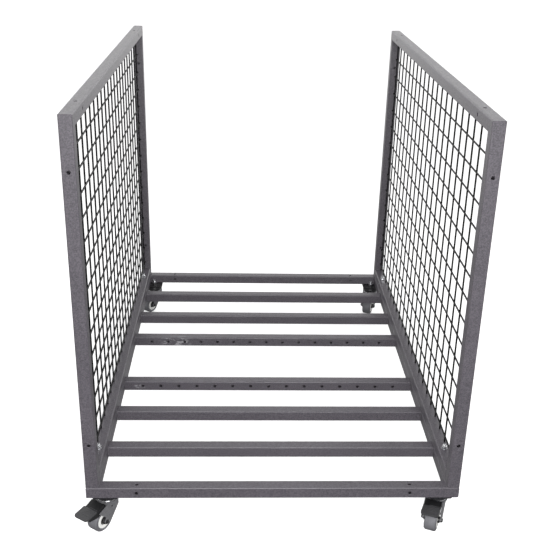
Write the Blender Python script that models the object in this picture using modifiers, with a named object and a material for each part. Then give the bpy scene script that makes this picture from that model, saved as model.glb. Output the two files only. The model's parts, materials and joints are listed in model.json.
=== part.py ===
"""A plant trolley: a welded base frame on four swivel casters, with a mesh panel bolted on along each side.

Metres, +Z up. The origin is on the floor, under the centre of the base frame. +X is to the right of someone
facing the open front, and +Y runs from the front to the back.
"""

import math

import bmesh
import bpy
from mathutils import Matrix, Vector

# Overall sizes
WIDTH = 0.750
DEPTH = 1.090
PANEL_HEIGHT = 0.750

# Square tube
TUBE = 0.025
WALL = 0.0015
CORNER_RADIUS = 0.0025
CORNER_STEPS = 2

# Clearances
GAP = 0.0003
SWIVEL_CLEARANCE = 0.0005
RUNNING_CLEARANCE = 0.0001
BOLT_CLEARANCE = 0.0005

# Crossbars: the two outer pairs are placed from the ends, and the perforated pair from the centre
OUTER_CROSSBAR_INSET = 0.153
MIDDLE_CROSSBAR_INSET = 0.2955
PERFORATED_BAR_OFFSET = 0.1155
PERFORATIONS = 15
PERFORATION_RADIUS = 0.0037
PERFORATION_INSET = 0.069

# Empty fixing holes in the rails and posts
FIXING_HOLE_RADIUS = 0.0035
FIXING_HOLE_INSET = 0.100
HOLE_SIDES = 8

# Welded wire mesh
WIRE = 0.003
MESH_SETBACK = 0.008
EDGE_WIRE_INSET = 0.003
VERTICAL_WIRES = 22
HORIZONTAL_WIRES = 15
HORIZONTAL_PITCH = 0.0483
WIRE_STEP = 2  # only every second wire is made a solid, to keep the panels light

# M6 bolts that clamp the panels to the base, with their nuts on top
BOLT_INSET = 0.100
BOLT_RADIUS = 0.003
BOLT_HEX = 0.010
BOLT_HEAD = 0.004
WASHER_RADIUS = 0.006
WASHER = 0.0016
BOLT_NUT = 0.005
THREAD_PAST_NUT = 0.006
ROUND_SIDES = 12

# Caster plates, M8 stems and swivel races
PLATE = 0.050
PLATE_THICKNESS = 0.003
PLATE_SETBACK = 0.002
STEM_INSET_X = 0.0115
STEM_NUT_CLEARANCE = 0.0015
STEM_RADIUS = 0.004
STEM_HEX = 0.013
STEM_NUT = 0.0065
STEM_TOP = 0.0145
STEM_HEAD_RADIUS = 0.007
STEM_HEAD = 0.0022
RACE_RADIUS = 0.0235
RACE_HEIGHT = 0.0142
RACE_LIP = 0.0035
RACE_SIDES = 20

# Forks and wheels. Fork places are (along the trail, up).
TRAIL = 0.025
WHEEL_RADIUS = 0.025
TREAD_WIDTH = 0.025
TREAD_ROUND = 0.003
HUB_RADIUS = 0.0172
HUB_RING = 0.0075
HUB_BOSS_RADIUS = 0.007
HUB_RECESS = 0.004
WHEEL_SIDES = 24
WHEEL_TO_CROWN = 0.0117
FORK_GAP = 0.0344
FORK_SHEET = 0.0025
CROWN_THICKNESS = 0.003
CROWN_FRONT = 0.0215
LEG_BACK = 0.011
LEG_WAIST = 0.012
LEG_HEEL_FROM_AXLE = Vector((-0.012, -0.0045))
LEG_NOSE_FROM_AXLE = Vector((0.0185, 0.029))
TONGUE_RADIUS = 0.005
TONGUE_STEPS = 6
AXLE_RADIUS = 0.0028
AXLE_HEAD_RADIUS = 0.0045
AXLE_HEAD = 0.0025

# Foot brakes of the front casters. Heights are taken up or down from the crown's underside.
BRAKE_PRESS = math.radians(12)
BRAKE_AT_REST = {"front_left": math.radians(10), "front_right": 0.0}
BRAKE_PIVOT_ALONG = 0.008
BRAKE_PIVOT_DROP = 0.0082
BRAKE_BOSS_RADIUS = 0.0035
BRAKE_PIN_RADIUS = 0.002
BRAKE_SIDE_CLEARANCE = 0.0007
SHOE_GAP = 0.0018
SHOE_START = math.radians(105)
SHOE_END = math.radians(48)
SHOE_STEPS = 8
HOUSING_CLEARANCE = 0.0012
HOUSING_RISE = 0.0085
PEDAL_SEAT = 0.046
PEDAL_SEAT_RISE = 0.0052
LEVER_END = 0.068
LEVER_END_DEPTH = 0.007
PEDAL_SLOPE = math.radians(3)
PEDAL_LENGTH = 0.031
PEDAL_HALF_WIDTH = 0.0175
PEDAL_THICKNESS = 0.003
PEDAL_CORNER = 0.006
PEDAL_CORNER_STEPS = 4

# Heading of each caster's trail, from +X towards +Y
HEADINGS = {
    "front_left": math.radians(235),
    "front_right": math.radians(247),
    "rear_left": math.radians(235),
    "rear_right": math.radians(250),
}

# What follows from the sizes, from the floor up
CROWN_BOTTOM = 2 * WHEEL_RADIUS + WHEEL_TO_CROWN
CROWN_TOP = CROWN_BOTTOM + CROWN_THICKNESS
RACE_BOTTOM = CROWN_TOP + SWIVEL_CLEARANCE
RACE_TOP = RACE_BOTTOM + RACE_HEIGHT
PLATE_BOTTOM = RACE_TOP + GAP
PLATE_TOP = PLATE_BOTTOM + PLATE_THICKNESS
BASE_BOTTOM = PLATE_TOP + GAP
BASE_TOP = BASE_BOTTOM + TUBE
PANEL_TOP = BASE_TOP + PANEL_HEIGHT
HALF_WIDTH = WIDTH / 2
HALF_DEPTH = DEPTH / 2
STEM_FROM_SIDE = TUBE + STEM_INSET_X
STEM_FROM_END = TUBE + STEM_HEX / 2 + STEM_NUT_CLEARANCE
AXLE = Vector((TRAIL, WHEEL_RADIUS))
BRAKE_PIVOT = Vector((BRAKE_PIVOT_ALONG, CROWN_BOTTOM - BRAKE_PIVOT_DROP))
FORK_INNER = FORK_GAP / 2
FORK_OUTER = FORK_INNER + FORK_SHEET

ALONG = {
    "x": Matrix(((0, 0, 1), (1, 0, 0), (0, 1, 0))),
    "y": Matrix(((0, 1, 0), (0, 0, 1), (1, 0, 0))),
    "z": Matrix.Identity(3),
}

MATERIALS = {
    "frame_coat": ((0.085, 0.080, 0.088, 1), 0.55, 0.3),
    "mesh_coat": ((0.010, 0.010, 0.011, 1), 0.45, 0.2),
    "zinc": ((0.75, 0.76, 0.78, 1), 0.25, 1.0),
    "fork_coat": ((0.20, 0.20, 0.21, 1), 0.45, 0.4),
    "race_steel": ((0.05, 0.05, 0.055, 1), 0.35, 0.6),
    "brake_plastic": ((0.015, 0.015, 0.016, 1), 0.5, 0.0),
    "pedal_coat": ((0.17, 0.17, 0.18, 1), 0.5, 0.2),
    "hub_plastic": ((0.85, 0.85, 0.83, 1), 0.35, 0.0),
    "tyre_rubber": ((0.22, 0.22, 0.24, 1), 0.7, 0.0),
}


def clear_scene():
    for item in list(bpy.data.objects):
        bpy.data.objects.remove(item)


def make_collection(name):
    made = bpy.data.collections.new(name)
    bpy.context.scene.collection.children.link(made)
    return made


def make_material(name):
    colour, roughness, metallic = MATERIALS[name]
    material = bpy.data.materials.get(name) or bpy.data.materials.new(name)
    material.use_nodes = True
    shader = material.node_tree.nodes["Principled BSDF"]
    shader.inputs["Base Color"].default_value = colour
    shader.inputs["Roughness"].default_value = roughness
    shader.inputs["Metallic"].default_value = metallic
    return material


clear_scene()
PARTS = make_collection("plant_trolley")
CUTTERS = make_collection("plant_trolley_cutters")
CUTTERS.hide_render = True


def add_object(name, mesh, material=None, parent=None, location=(0, 0, 0), rotation=None):
    """A part where a material is given, or else a helper for Booleans."""
    item = bpy.data.objects.new(name, mesh)
    item.location = location
    if rotation is not None:
        item.rotation_euler = rotation.to_euler()
    item.parent = parent
    if material:
        mesh.materials.append(make_material(material))
        PARTS.objects.link(item)
    else:
        item.hide_render = True
        item.display_type = "WIRE"
        CUTTERS.objects.link(item)
    return item


def add_empty(name, location, parent=None, heading=0.0):
    item = bpy.data.objects.new(name, None)
    item.location = location
    item.rotation_euler = (0, 0, heading)
    item.parent = parent
    item.empty_display_size = 0.02
    PARTS.objects.link(item)
    return item


def boolean(item, other, operation="DIFFERENCE"):
    modifier = item.modifiers.new(f"{operation.lower()}_{other.name}", "BOOLEAN")
    modifier.operation = operation
    modifier.solver = "EXACT"
    modifier.object = other


def smooth(item, angle=math.radians(35)):
    item.data.shade_smooth()
    item.data.set_sharp_from_angle(angle=angle)


def box(name, low, high, **placing):
    bm = bmesh.new()
    bmesh.ops.create_cube(bm, size=1)
    low, high = Vector(low), Vector(high)
    bmesh.ops.scale(bm, vec=high - low, verts=bm.verts)
    bmesh.ops.translate(bm, vec=(low + high) / 2, verts=bm.verts)
    mesh = bpy.data.meshes.new(name)
    bm.to_mesh(mesh)
    bm.free()
    return add_object(name, mesh, **placing)


def rods(name, centres, axis, radius, length, sides=HOLE_SIDES, turn=0.0, **placing):
    """One mesh of equal rods along an axis, each centred on its point."""
    bm = bmesh.new()
    for centre in centres:
        place = Matrix.Translation(centre) @ ALONG[axis].to_4x4() @ Matrix.Rotation(turn, 4, "Z")
        bmesh.ops.create_cone(
            bm, cap_ends=True, segments=sides, radius1=radius, radius2=radius, depth=length, matrix=place
        )
    mesh = bpy.data.meshes.new(name)
    bm.to_mesh(mesh)
    bm.free()
    return add_object(name, mesh, **placing)


def extruded_mesh(name, outlines, thickness):
    """Flat outlines, holes included, filled and extruded about their plane, as one welded mesh."""
    curve = bpy.data.curves.new(name, "CURVE")
    curve.dimensions = "2D"
    curve.fill_mode = "BOTH"
    curve.extrude = thickness / 2
    for outline in outlines:
        spline = curve.splines.new("POLY")
        spline.points.add(len(outline) - 1)
        for point, (x, y) in zip(spline.points, outline):
            point.co = (x, y, 0, 1)
        spline.use_cyclic_u = True
    source = bpy.data.objects.new(name, curve)
    CUTTERS.objects.link(source)
    graph = bpy.context.evaluated_depsgraph_get()
    mesh = bpy.data.meshes.new_from_object(source.evaluated_get(graph))
    bpy.data.objects.remove(source)
    bm = bmesh.new()
    bm.from_mesh(mesh)
    bmesh.ops.remove_doubles(bm, verts=bm.verts, dist=0.00001)
    bmesh.ops.recalc_face_normals(bm, faces=bm.faces)
    bm.to_mesh(mesh)
    bm.free()
    mesh.materials.clear()
    return mesh


def arc(centre, radius, start, end, steps):
    return [
        centre + radius * Vector((math.cos(angle), math.sin(angle)))
        for angle in (start + (end - start) * step / steps for step in range(steps + 1))
    ]


def square_section():
    """The tube's outer outline with rounded corners, and its bore."""
    reach = TUBE / 2 - CORNER_RADIUS
    outer = []
    for corner in range(4):
        start = corner * math.pi / 2
        turn = Matrix.Rotation(start, 2)
        outer += arc(turn @ Vector((reach, reach)), CORNER_RADIUS, start, start + math.pi / 2, CORNER_STEPS)
    inside = TUBE / 2 - WALL
    bore = [turn_point * inside for turn_point in (Vector((1, 1)), Vector((-1, 1)), Vector((-1, -1)), Vector((1, -1)))]
    return [outer, bore]


def square_tube(name, centre, axis, length, short_side=None, mitred=(True, True)):
    """A tube centred on a point. A mitred end is cut at 45 degrees, shorter on the side short_side points to."""
    mesh = extruded_mesh(name, square_section(), length)
    if short_side:
        side = ALONG[axis].transposed() @ Vector(short_side)
        for vertex in mesh.vertices:
            end = 1 if vertex.co.z > 0 else -1
            if mitred[0 if end < 0 else 1]:
                vertex.co.z -= end * (vertex.co.dot(side) - vertex.co.z * side.z + TUBE / 2 + GAP)
    item = add_object(name, mesh, material="frame_coat", location=centre, rotation=ALONG[axis])
    smooth(item)
    return item


def drill(tube, points, axis, radius=FIXING_HOLE_RADIUS, sides=HOLE_SIDES):
    """Holes through the one wall that each point lies on."""
    boolean(tube, rods(f"{tube.name}_{axis}_drill", points, axis, radius, 4 * WALL, sides))


def turned(name, profile, sides, parent, material, along_y=False, bore=None):
    """A turned solid. The profile's points are (radius, height), down the outer side from top to bottom."""
    mesh = bpy.data.meshes.new(name)
    edges = [(index, index + 1) for index in range(len(profile) - 1)]
    closed = profile[0][0] > 0
    if closed:
        edges.append((len(profile) - 1, 0))
    mesh.from_pydata([(radius, 0, height) for radius, height in profile], edges, [])
    item = add_object(name, mesh, material=material, parent=parent)
    if along_y:
        item.rotation_euler = (-math.pi / 2, 0, 0)
    screw = item.modifiers.new("turn", "SCREW")
    screw.steps = screw.render_steps = sides
    screw.use_merge_vertices = True
    screw.merge_threshold = 0.00001
    screw.use_smooth_shade = False
    return item


def around(radius, sides, clearance=RUNNING_CLEARANCE):
    """Corner radius of a many-sided bore whose flats clear a shaft."""
    return (radius + clearance) / math.cos(math.pi / sides)


def hex_radius(across_flats):
    return across_flats / math.sqrt(3)


# Base frame


def base_frame():
    rail_z = BASE_BOTTOM + TUBE / 2
    for name, side in (("front", -1), ("rear", 1)):
        y = side * (HALF_DEPTH - TUBE / 2)
        rail = square_tube(f"base_rail_{name}", (0, y, rail_z), "x", WIDTH, (0, -side, 0))
        hole_x = HALF_WIDTH - FIXING_HOLE_INSET
        drill(rail, [(x, y, BASE_TOP - WALL / 2) for x in (-hole_x, hole_x)], "z")
        face_y = y - TUBE / 2 + WALL / 2
        drill(rail, [(x, face_y, rail_z) for x in (-hole_x, hole_x)], "y")
    for name, side in (("left", -1), ("right", 1)):
        x = side * (HALF_WIDTH - TUBE / 2)
        rail = square_tube(f"base_rail_{name}", (x, 0, rail_z), "y", DEPTH, (-side, 0, 0))
        bolt_holes(rail, x, rail_z)

    length = WIDTH - 2 * TUBE - 2 * GAP
    outer = HALF_DEPTH - OUTER_CROSSBAR_INSET
    middle = HALF_DEPTH - MIDDLE_CROSSBAR_INSET
    places = (
        ("crossbar_1", -outer),
        ("crossbar_2", -middle),
        ("perforated_bar_3", -PERFORATED_BAR_OFFSET),
        ("perforated_bar_4", PERFORATED_BAR_OFFSET),
        ("crossbar_5", middle),
        ("crossbar_6", outer),
    )
    for name, y in places:
        bar = square_tube(name, (0, y, rail_z), "x", length)
        if name.startswith("perforated"):
            first = PERFORATION_INSET - HALF_WIDTH
            pitch = -2 * first / (PERFORATIONS - 1)
            points = [(first + pitch * i, y - TUBE / 2 + WALL / 2, rail_z) for i in range(PERFORATIONS)]
            drill(bar, points, "y", PERFORATION_RADIUS)


def bolt_holes(rail, x, z):
    """Clearance holes for the panel bolts, down through the whole tube."""
    reach = HALF_DEPTH - BOLT_INSET
    points = [(x, y, z) for y in (-reach, reach)]
    radius = around(BOLT_RADIUS, ROUND_SIDES, BOLT_CLEARANCE)
    boolean(rail, rods(f"{rail.name}_bolt_drill", points, "z", radius, 2 * TUBE, ROUND_SIDES))


# Side panels


def side_panel(name, side):
    x = side * (HALF_WIDTH - TUBE / 2)
    post_z = (BASE_TOP + GAP + PANEL_TOP) / 2
    for end_name, end in (("front", -1), ("rear", 1)):
        y = end * (HALF_DEPTH - TUBE / 2)
        post = square_tube(
            f"panel_post_{name}_{end_name}", (x, y, post_z), "z", PANEL_HEIGHT - GAP, (0, -end, 0), (False, True)
        )
        heights = (BASE_TOP + FIXING_HOLE_INSET, PANEL_TOP - FIXING_HOLE_INSET)
        drill(post, [(x, y - TUBE / 2 + WALL / 2, height) for height in heights], "y")

    top_z = PANEL_TOP - TUBE / 2
    top = square_tube(f"panel_top_rail_{name}", (x, 0, top_z), "y", DEPTH, (0, 0, -1))
    hole_y = HALF_DEPTH - FIXING_HOLE_INSET
    drill(top, [(x, y, PANEL_TOP - WALL / 2) for y in (-hole_y, hole_y)], "z")
    inner_x = x - side * (TUBE / 2 - WALL / 2)
    drill(top, [(inner_x, y, top_z) for y in (-hole_y, hole_y)], "x")

    bottom_z = BASE_TOP + GAP + TUBE / 2
    bottom = square_tube(f"panel_bottom_rail_{name}", (x, 0, bottom_z), "y", DEPTH - 2 * TUBE - 2 * GAP)
    bolt_holes(bottom, x, bottom_z)
    wire_mesh(name, side)
    for end_name, end in (("front", -1), ("rear", 1)):
        panel_bolt(f"{name}_{end_name}", (x, end * (HALF_DEPTH - BOLT_INSET), 0))


def wire_mesh(name, side):
    """A lattice of square wires with short ends towards the frame around it."""
    x = side * (HALF_WIDTH - MESH_SETBACK)
    low_z, high_z = BASE_TOP + GAP + TUBE, PANEL_TOP - TUBE
    end_y = HALF_DEPTH - TUBE
    first_y = -end_y + EDGE_WIRE_INSET
    pitch = -2 * first_y / (VERTICAL_WIRES - 1)
    columns = sorted({*range(0, VERTICAL_WIRES, WIRE_STEP), VERTICAL_WIRES - 1})
    rows = sorted({*range(0, HORIZONTAL_WIRES, WIRE_STEP), HORIZONTAL_WIRES - 1})
    upright = [(x, first_y + pitch * i, (low_z + high_z) / 2) for i in columns]
    level = [(x, 0, high_z - EDGE_WIRE_INSET - HORIZONTAL_PITCH * i) for i in rows]
    corner = WIRE / math.sqrt(2)
    turn = math.pi / 4
    mesh = rods(
        f"panel_mesh_{name}", upright, "z", corner, high_z - low_z - 2 * GAP, 4, turn, material="mesh_coat"
    )
    across = rods(f"panel_mesh_{name}_level", level, "y", corner, 2 * (end_y - GAP), 4, turn)
    boolean(mesh, across, "UNION")


def panel_bolt(name, place):
    """A hex bolt up through both rails, its head under the base, and the nut and washer on the panel's rail."""
    anchor = add_empty(f"panel_bolt_{name}_axis", place)
    seat = BASE_TOP + GAP + TUBE + GAP
    nut_bottom = seat + WASHER - GAP
    thread_end = nut_bottom + BOLT_NUT + THREAD_PAST_NUT
    head_top = BASE_BOTTOM - GAP
    head_middle = head_top - BOLT_HEAD / 2
    shank = [(0, 0, (head_middle + thread_end) / 2)]
    bolt = rods(
        f"panel_bolt_{name}", shank, "z", BOLT_RADIUS, thread_end - head_middle, ROUND_SIDES,
        parent=anchor, material="zinc",
    )
    head = rods(
        f"panel_bolt_{name}_head", [(0, 0, head_middle)], "z", hex_radius(BOLT_HEX), BOLT_HEAD, 6, parent=anchor
    )
    boolean(bolt, head, "UNION")
    nut = rods(
        f"panel_nut_{name}", [(0, 0, nut_bottom + BOLT_NUT / 2)], "z", hex_radius(BOLT_HEX), BOLT_NUT, 6,
        parent=anchor, material="zinc",
    )
    washer = rods(
        f"panel_nut_{name}_washer", [(0, 0, seat + WASHER / 2)], "z", WASHER_RADIUS, WASHER, ROUND_SIDES,
        parent=anchor,
    )
    bore = rods(
        f"panel_nut_{name}_bore", [(0, 0, nut_bottom)], "z", around(BOLT_RADIUS, ROUND_SIDES, GAP), 4 * BOLT_NUT,
        ROUND_SIDES, parent=anchor,
    )
    boolean(nut, washer, "UNION")
    boolean(nut, bore)


# Casters


def corner_plate(name, side, end, place):
    """The square plate under a corner of the base, which the caster's stem goes through."""
    x = place[0]
    near_y = end * (HALF_DEPTH - PLATE_SETBACK)
    far_y = near_y - end * PLATE
    low = (x - PLATE / 2, min(near_y, far_y), PLATE_BOTTOM)
    high = (x + PLATE / 2, max(near_y, far_y), PLATE_TOP)
    plate = box(f"corner_plate_{name}", low, high, material="race_steel")
    radius = around(STEM_RADIUS, ROUND_SIDES, GAP)
    hole = rods(
        f"corner_plate_{name}_drill", [(x, place[1], PLATE_TOP)], "z", radius, 4 * PLATE_THICKNESS, ROUND_SIDES
    )
    boolean(plate, hole)


def caster_stem(name, pivot):
    """The threaded stem with its head under the fork's crown and its nut on the corner plate."""
    top = PLATE_TOP + STEM_TOP
    head_top = CROWN_BOTTOM - SWIVEL_CLEARANCE
    head_bottom = head_top - STEM_HEAD
    stem = turned(
        f"caster_stem_{name}",
        [(0, top), (STEM_RADIUS, top), (STEM_RADIUS, head_top), (STEM_HEAD_RADIUS, head_top),
         (STEM_HEAD_RADIUS, head_bottom), (0, head_bottom)],
        ROUND_SIDES,
        pivot,
        "zinc",
    )
    nut_z = PLATE_TOP + GAP + STEM_NUT / 2
    # The nut's flats face the end rail, whatever the caster's heading.
    flats = math.pi / 6 - pivot.rotation_euler.z
    nut = rods(f"caster_stem_{name}_nut", [(0, 0, nut_z)], "z", hex_radius(STEM_HEX), STEM_NUT, 6, flats + math.pi / 6, parent=pivot)
    boolean(stem, nut, "UNION")
    smooth(stem)


def swivel_race(name, pivot):
    bore = around(STEM_RADIUS, ROUND_SIDES, GAP)
    lip = RACE_RADIUS - RACE_LIP
    middle = (RACE_TOP + RACE_BOTTOM) / 2
    race = turned(
        f"swivel_race_{name}",
        [(lip, RACE_TOP), (RACE_RADIUS, middle), (lip, RACE_BOTTOM), (bore, RACE_BOTTOM), (bore, RACE_TOP)],
        RACE_SIDES,
        pivot,
        "race_steel",
    )
    smooth(race)


def leg_outline():
    """The fork's side: a wide leg that slants back to its heel, and a narrow round tongue at the axle."""
    heel = AXLE + LEG_HEEL_FROM_AXLE
    nose = AXLE + LEG_NOSE_FROM_AXLE
    edge = nose - heel
    slant = math.atan2(edge.y, edge.x)
    tongue = arc(AXLE, TONGUE_RADIUS, slant + math.pi, slant + 2 * math.pi, TONGUE_STEPS)
    to_edge = (AXLE - heel).project(edge) - (AXLE - heel)
    return [
        Vector((-LEG_BACK, CROWN_TOP)),
        Vector((-LEG_BACK, CROWN_BOTTOM - LEG_WAIST)),
        heel,
        tongue[0] + to_edge,
        *tongue,
        tongue[-1] + to_edge,
        nose,
        Vector((CROWN_FRONT, CROWN_BOTTOM)),
        Vector((CROWN_FRONT, CROWN_TOP)),
    ]


def fork(name, pivot, braked):
    """A pressed channel: a round crown on top, and two legs down to the axle."""
    mesh = extruded_mesh(f"caster_fork_{name}", [leg_outline()], 2 * FORK_OUTER)
    upright = Matrix.Rotation(math.pi / 2, 3, "X")
    item = add_object(f"caster_fork_{name}", mesh, material="fork_coat", parent=pivot, rotation=upright)
    crown = rods(
        f"caster_fork_{name}_crown",
        [(0, 0, CROWN_BOTTOM + CROWN_THICKNESS / 2)],
        "z",
        RACE_RADIUS,
        CROWN_THICKNESS,
        RACE_SIDES,
        parent=pivot,
    )
    boolean(item, crown, "UNION")
    channel = box(
        f"caster_fork_{name}_channel",
        (-RACE_RADIUS - LEG_BACK, -FORK_INNER, -WHEEL_RADIUS),
        (RACE_RADIUS + 2 * TRAIL, FORK_INNER, CROWN_BOTTOM),
        parent=pivot,
    )
    boolean(item, channel)
    stem_bore = around(STEM_RADIUS, ROUND_SIDES, GAP)
    boolean(
        item,
        rods(f"caster_fork_{name}_bore", [(0, 0, CROWN_TOP)], "z", stem_bore, 4 * CROWN_THICKNESS, ROUND_SIDES,
             parent=pivot),
    )
    axle_bore = around(AXLE_RADIUS, ROUND_SIDES, GAP)
    boolean(
        item,
        rods(f"caster_fork_{name}_axle_drill", [(TRAIL, 0, WHEEL_RADIUS)], "y", axle_bore, 4 * FORK_OUTER,
             ROUND_SIDES, parent=pivot),
    )
    if braked:
        pin_bore = around(BRAKE_PIN_RADIUS, ROUND_SIDES)
        place = (BRAKE_PIVOT.x, 0, BRAKE_PIVOT.y)
        boolean(
            item,
            rods(f"caster_fork_{name}_pin_drill", [place], "y", pin_bore, 4 * FORK_OUTER, ROUND_SIDES, parent=pivot),
        )
    smooth(item)


def wheel(name, axle):
    """Tyre and hub, both turned about the axle, which runs along the empty's Y."""
    half = TREAD_WIDTH / 2
    seat = HUB_RADIUS + GAP
    shoulder = WHEEL_RADIUS - TREAD_ROUND
    tyre = turned(
        f"caster_tyre_{name}",
        [(seat, half), (shoulder, half), (WHEEL_RADIUS, half - TREAD_ROUND), (WHEEL_RADIUS, TREAD_ROUND - half),
         (shoulder, -half), (seat, -half)],
        WHEEL_SIDES,
        axle,
        "tyre_rubber",
        along_y=True,
    )
    smooth(tyre)
    bore = around(AXLE_RADIUS, ROUND_SIDES)
    boss = FORK_INNER - SWIVEL_CLEARANCE
    web = half - HUB_RECESS
    ring = HUB_RADIUS - HUB_RING
    hub = turned(
        f"caster_hub_{name}",
        [(bore, boss), (HUB_BOSS_RADIUS, boss), (HUB_BOSS_RADIUS, web), (ring, web), (ring, half), (HUB_RADIUS, half),
         (HUB_RADIUS, -half), (ring, -half), (ring, -web), (HUB_BOSS_RADIUS, -web), (HUB_BOSS_RADIUS, -boss),
         (bore, -boss)],
        ROUND_SIDES,
        axle,
        "hub_plastic",
        along_y=True,
    )
    smooth(hub)


def axle_bolt(name, axle):
    reach = FORK_OUTER + GAP
    end = reach + AXLE_HEAD
    bolt = turned(
        f"caster_axle_{name}",
        [(0, end), (AXLE_HEAD_RADIUS, end), (AXLE_HEAD_RADIUS, reach), (AXLE_RADIUS, reach), (AXLE_RADIUS, -reach),
         (AXLE_HEAD_RADIUS, -reach), (AXLE_HEAD_RADIUS, -end), (0, -end)],
        ROUND_SIDES,
        axle,
        "zinc",
        along_y=True,
    )
    smooth(bolt)


def lever_outline():
    """The lever's side, measured from its pivot. Its underside meets the tyre along an arc when pressed."""
    clear = (WHEEL_RADIUS + SHOE_GAP) / math.cos((SHOE_START - SHOE_END) / SHOE_STEPS / 2)
    pressed = arc(AXLE - BRAKE_PIVOT, clear, SHOE_START, SHOE_END, SHOE_STEPS)
    turn_back = Matrix.Rotation(BRAKE_PRESS, 2)
    seat = pedal_seat()
    end_top = seat + (LEVER_END - PEDAL_SEAT) * Vector((1, math.tan(PEDAL_SLOPE)))
    back = RACE_RADIUS + HOUSING_CLEARANCE
    return [
        *arc(Vector((0, 0)), BRAKE_BOSS_RADIUS, math.radians(110), math.radians(260), 6),
        *[turn_back @ point for point in pressed],
        end_top - Vector((0, LEVER_END_DEPTH)),
        end_top,
        seat,
        Vector((back, CROWN_BOTTOM + HOUSING_RISE)) - BRAKE_PIVOT,
        Vector((back, CROWN_BOTTOM - HOUSING_CLEARANCE)) - BRAKE_PIVOT,
    ]


def pedal_seat():
    """Where the underside of the pedal starts on the lever, from the pivot."""
    return Vector((PEDAL_SEAT, CROWN_BOTTOM + PEDAL_SEAT_RISE)) - BRAKE_PIVOT


def brake(name, pivot):
    """The lever, with the shoe under it and a pin on each side, and the foot pedal on its end."""
    hinge = add_empty(f"brake_pivot_{name}", (BRAKE_PIVOT.x, 0, BRAKE_PIVOT.y), pivot)
    hinge.rotation_euler.y = BRAKE_AT_REST[name]
    upright = Matrix.Rotation(math.pi / 2, 3, "X")
    half_width = FORK_INNER - BRAKE_SIDE_CLEARANCE
    mesh = extruded_mesh(f"brake_lever_{name}", [lever_outline()], 2 * half_width)
    lever = add_object(f"brake_lever_{name}", mesh, material="brake_plastic", parent=hinge, rotation=upright)
    pins = rods(
        f"brake_lever_{name}_pins", [(0, 0, 0)], "y", BRAKE_PIN_RADIUS, 2 * FORK_OUTER, ROUND_SIDES, parent=hinge
    )
    boolean(lever, pins, "UNION")
    smooth(lever)

    corner = Vector((PEDAL_LENGTH - PEDAL_CORNER, PEDAL_HALF_WIDTH - PEDAL_CORNER))
    left_tip = arc(corner, PEDAL_CORNER, 0, math.pi / 2, PEDAL_CORNER_STEPS)
    right_tip = [Vector((point.x, -point.y)) for point in reversed(left_tip)]
    foot = [Vector((0, -PEDAL_HALF_WIDTH)), *right_tip, *left_tip, Vector((0, PEDAL_HALF_WIDTH))]
    mesh = extruded_mesh(f"brake_pedal_{name}", [foot], PEDAL_THICKNESS)
    tilt = Matrix.Rotation(-PEDAL_SLOPE, 3, "Y")
    lift = tilt @ Vector((GAP, 0, GAP + PEDAL_THICKNESS / 2))
    seat = pedal_seat()
    pedal = add_object(
        f"brake_pedal_{name}", mesh, material="pedal_coat", parent=hinge,
        location=Vector((seat.x, 0, seat.y)) + lift, rotation=tilt,
    )
    smooth(pedal)


def caster(name, side, end, braked):
    x = side * (HALF_WIDTH - STEM_FROM_SIDE)
    y = end * (HALF_DEPTH - STEM_FROM_END)
    pivot = add_empty(f"caster_swivel_{name}", (x, y, 0), heading=HEADINGS[name])
    axle = add_empty(f"caster_spin_{name}", (TRAIL, 0, WHEEL_RADIUS), pivot)
    corner_plate(name, side, end, (x, y))
    caster_stem(name, pivot)
    swivel_race(name, pivot)
    fork(name, pivot, braked)
    wheel(name, axle)
    axle_bolt(name, axle)
    if braked:
        brake(name, pivot)


base_frame()
side_panel("left", -1)
side_panel("right", 1)
for end_name, end_sign in (("front", -1), ("rear", 1)):
    for side_name, side_sign in (("left", -1), ("right", 1)):
        caster(f"{end_name}_{side_name}", side_sign, end_sign, braked=end_name == "front")
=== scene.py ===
"""The looks of the plant trolley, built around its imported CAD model. Metres, +Z up, origin on the floor."""

import json
import math
import random
import bmesh
import bpy
from mathutils import Matrix, Vector


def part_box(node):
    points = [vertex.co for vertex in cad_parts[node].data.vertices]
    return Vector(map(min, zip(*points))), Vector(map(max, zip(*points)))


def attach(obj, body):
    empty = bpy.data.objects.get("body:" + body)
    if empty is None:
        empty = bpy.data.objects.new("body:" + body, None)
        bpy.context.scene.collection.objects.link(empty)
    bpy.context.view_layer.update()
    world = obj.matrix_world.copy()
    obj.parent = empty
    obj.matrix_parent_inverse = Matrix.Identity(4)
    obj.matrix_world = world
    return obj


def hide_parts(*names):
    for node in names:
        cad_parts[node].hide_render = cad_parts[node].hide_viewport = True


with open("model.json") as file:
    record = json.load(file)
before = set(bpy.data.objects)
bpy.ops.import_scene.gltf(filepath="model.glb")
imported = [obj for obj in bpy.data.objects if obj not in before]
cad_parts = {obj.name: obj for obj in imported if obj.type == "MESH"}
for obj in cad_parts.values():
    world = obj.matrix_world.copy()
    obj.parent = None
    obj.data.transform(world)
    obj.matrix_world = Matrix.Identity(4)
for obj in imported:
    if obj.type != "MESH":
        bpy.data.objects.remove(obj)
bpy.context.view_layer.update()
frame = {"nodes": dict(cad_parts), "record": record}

# Stock sizes, as in the CAD model, except that the wires are round here and all of them are drawn
TUBE = 0.025
WALL = 0.0015
CORNER_RADIUS = 0.0025
WIRE_RADIUS = 0.0018
WIRE_PRESS = 0.0004
VERTICAL_WIRES = 22
HORIZONTAL_WIRES = 15
HORIZONTAL_PITCH = 0.0483
EDGE_WIRE_INSET = 0.003
PERFORATIONS = 15
PERFORATION_INSET = 0.069
PERFORATION_RADIUS = 0.0037
FIXING_HOLE_RADIUS = 0.0035
FIXING_HOLE_INSET = 0.100
BOLT_RADIUS = 0.003
BOLT_HEX = 0.010
BOLT_HEAD = 0.004
BOLT_NUT = 0.005
BOLT_PITCH = 0.001
WASHER = 0.0016
WASHER_RADIUS = 0.006
GAP = 0.0003

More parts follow.
